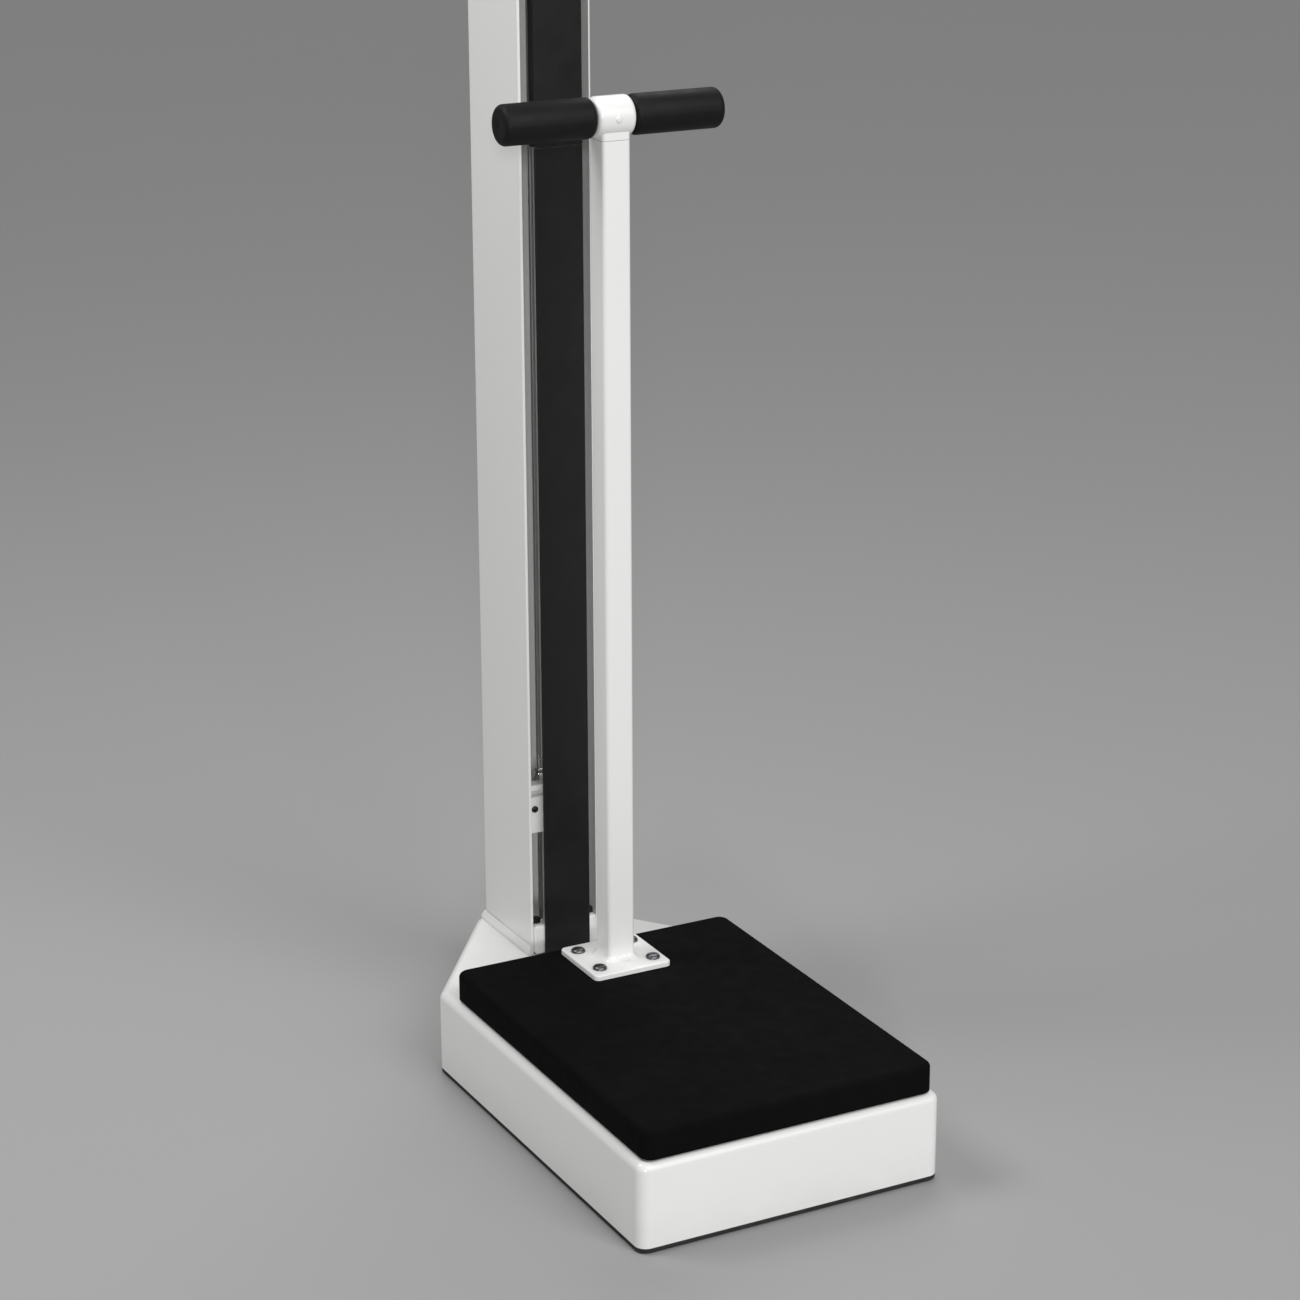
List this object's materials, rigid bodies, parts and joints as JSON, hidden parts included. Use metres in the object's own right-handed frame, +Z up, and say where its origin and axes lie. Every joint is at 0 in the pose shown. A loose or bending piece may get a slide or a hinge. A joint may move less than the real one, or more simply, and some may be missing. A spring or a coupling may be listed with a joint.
{
  "type": "physician beam scale",
  "caption": "Stand-on beam scale: low platform with a hand post, rear column, and a weigh beam with sliding poises driven by a lever system and a steelyard rod.",
  "frame": {"origin": "on the floor, at the bottom centre of the scale's overall box, between the platform and the column", "axes": "+Z up, +X to the right of a person on the platform who faces the column, +Y from the platform to the column"},
  "size_m": [0.5206, 0.516, 1.473],
  "materials": {
    "white_enamel": "smooth glossy white enamel",
    "black_enamel": "fine-grained satin black enamel",
    "mat_rubber": "matt black rubber with fine ribs",
    "foot_rubber": "matt black rubber",
    "grip_vinyl": "satin black moulded vinyl",
    "cast_iron": "dark painted casting skin",
    "bright_steel": "bright zinc-plated steel",
    "dark_steel": "black oxide screws",
    "die_cast": "polished die-cast metal with engraved marks",
    "brass": "turned and knurled brass"
  },
  "bodies": {
    "base": {"base_cover": "white_enamel", "front_cross_rail": "cast_iron", "rear_cross_rail": "cast_iron", "column_bracket": "cast_iron", "foot_front_left": "foot_rubber", "foot_front_right": "foot_rubber", "foot_rear_left": "foot_rubber", "foot_rear_right": "foot_rubber", "foot_column": "foot_rubber", "column_shell": "white_enamel", "column_collar": "white_enamel", "column_foot_block": "white_enamel", "front_plate_lower": "black_enamel", "front_channel_upper": "black_enamel", "strip_tie_lower": "white_enamel", "strip_tie_middle": "white_enamel", "strip_tie_upper": "white_enamel", "tie_screw": "dark_steel", "foot_bolt_left": "dark_steel", "foot_bolt_right": "dark_steel", "column_cap": "white_enamel", "beam_shelf": "white_enamel", "fulcrum_stand": "white_enamel", "trig_loop": "white_enamel"},
    "platform": {"platform_pan": "black_enamel", "platform_mat": "mat_rubber", "platform_leg_front_left": "cast_iron", "platform_leg_front_right": "cast_iron", "platform_leg_rear_left": "cast_iron", "platform_leg_rear_right": "cast_iron", "post_flange": "white_enamel", "flange_screw_1": "dark_steel", "flange_screw_2": "dark_steel", "flange_screw_3": "dark_steel", "flange_screw_4": "dark_steel", "post_tube": "white_enamel", "post_tee": "white_enamel", "handle_bar": "bright_steel", "grip_left": "grip_vinyl", "grip_right": "grip_vinyl"},
    "long_lever": {"long_lever": "cast_iron", "long_lever_fulcrum_pivot": "bright_steel", "long_lever_load_pivot": "bright_steel", "lever_link": "bright_steel"},
    "short_lever": {"short_lever": "cast_iron", "short_lever_fulcrum_pivot": "bright_steel", "short_lever_load_pivot": "bright_steel"},
    "steelyard": {"nose_stirrup": "bright_steel", "steelyard_rod": "bright_steel", "rod_turnbuckle": "bright_steel", "beam_yoke": "bright_steel"},
    "beam": {"beam": "die_cast", "beam_fulcrum_pivot": "bright_steel", "beam_load_pivot": "bright_steel"},
    "main_poise": {"main_poise": "black_enamel", "poise_knob": "bright_steel"},
    "small_poise": {"small_poise": "black_enamel"},
    "balance_screw": {"balance_screw": "bright_steel"},
    "balance_weight": {"balance_weight": "brass"}
  },
  "joints": [
    {"name": "beam_tilt", "type": "hinge", "parent": "base", "child": "beam", "pos_m": [0.045, 0.20345, 1.411], "axis": [0, -1, 0], "range_deg": [-4.1, 4.1]},
    {"name": "steelyard_travel", "type": "slide", "parent": "base", "child": "steelyard", "axis": [0, 0, -1], "range_m": [-0.0033, 0.0033]},
    {"name": "long_lever_tilt", "type": "hinge", "parent": "base", "child": "long_lever", "pos_m": [0, -0.236, 0.039], "axis": [-1, 0, 0], "range_deg": [-0.45, 0.45]},
    {"name": "short_lever_tilt", "type": "hinge", "parent": "base", "child": "short_lever", "pos_m": [0, 0.08, 0.02], "axis": [1, 0, 0], "range_deg": [-0.45, 0.45]},
    {"name": "platform_travel", "type": "slide", "parent": "base", "child": "platform", "axis": [0, 0, -1], "range_m": [-0.00042, 0.00042]},
    {"name": "main_poise_slide", "type": "slide", "parent": "beam", "child": "main_poise", "axis": [1, 0, 0], "range_m": [0, 0.32]},
    {"name": "small_poise_slide", "type": "slide", "parent": "beam", "child": "small_poise", "axis": [1, 0, 0], "range_m": [0, 0.352]},
    {"name": "balance_screw_turn", "type": "hinge", "parent": "beam", "child": "balance_screw", "pos_m": [-0.22625, 0.20345, 1.436], "axis": [1, 0, 0], "range_deg": [-4320, 4320]},
    {"name": "balance_weight_travel", "type": "slide", "parent": "beam", "child": "balance_weight", "axis": [1, 0, 0], "range_m": [-0.0112, 0.0112]}
  ],
  "couplings": [
    {"joint": "balance_weight_travel", "follows": "balance_screw_turn", "m_per_rad": 0.00012732},
    {"joint": "steelyard_travel", "follows": "beam_tilt", "m_per_rad": 0.045},
    {"joint": "long_lever_tilt", "follows": "beam_tilt", "ratio": 0.1024},
    {"joint": "short_lever_tilt", "follows": "beam_tilt", "ratio": 0.1024},
    {"joint": "platform_travel", "follows": "beam_tilt", "m_per_rad": 0.005632}
  ]
}
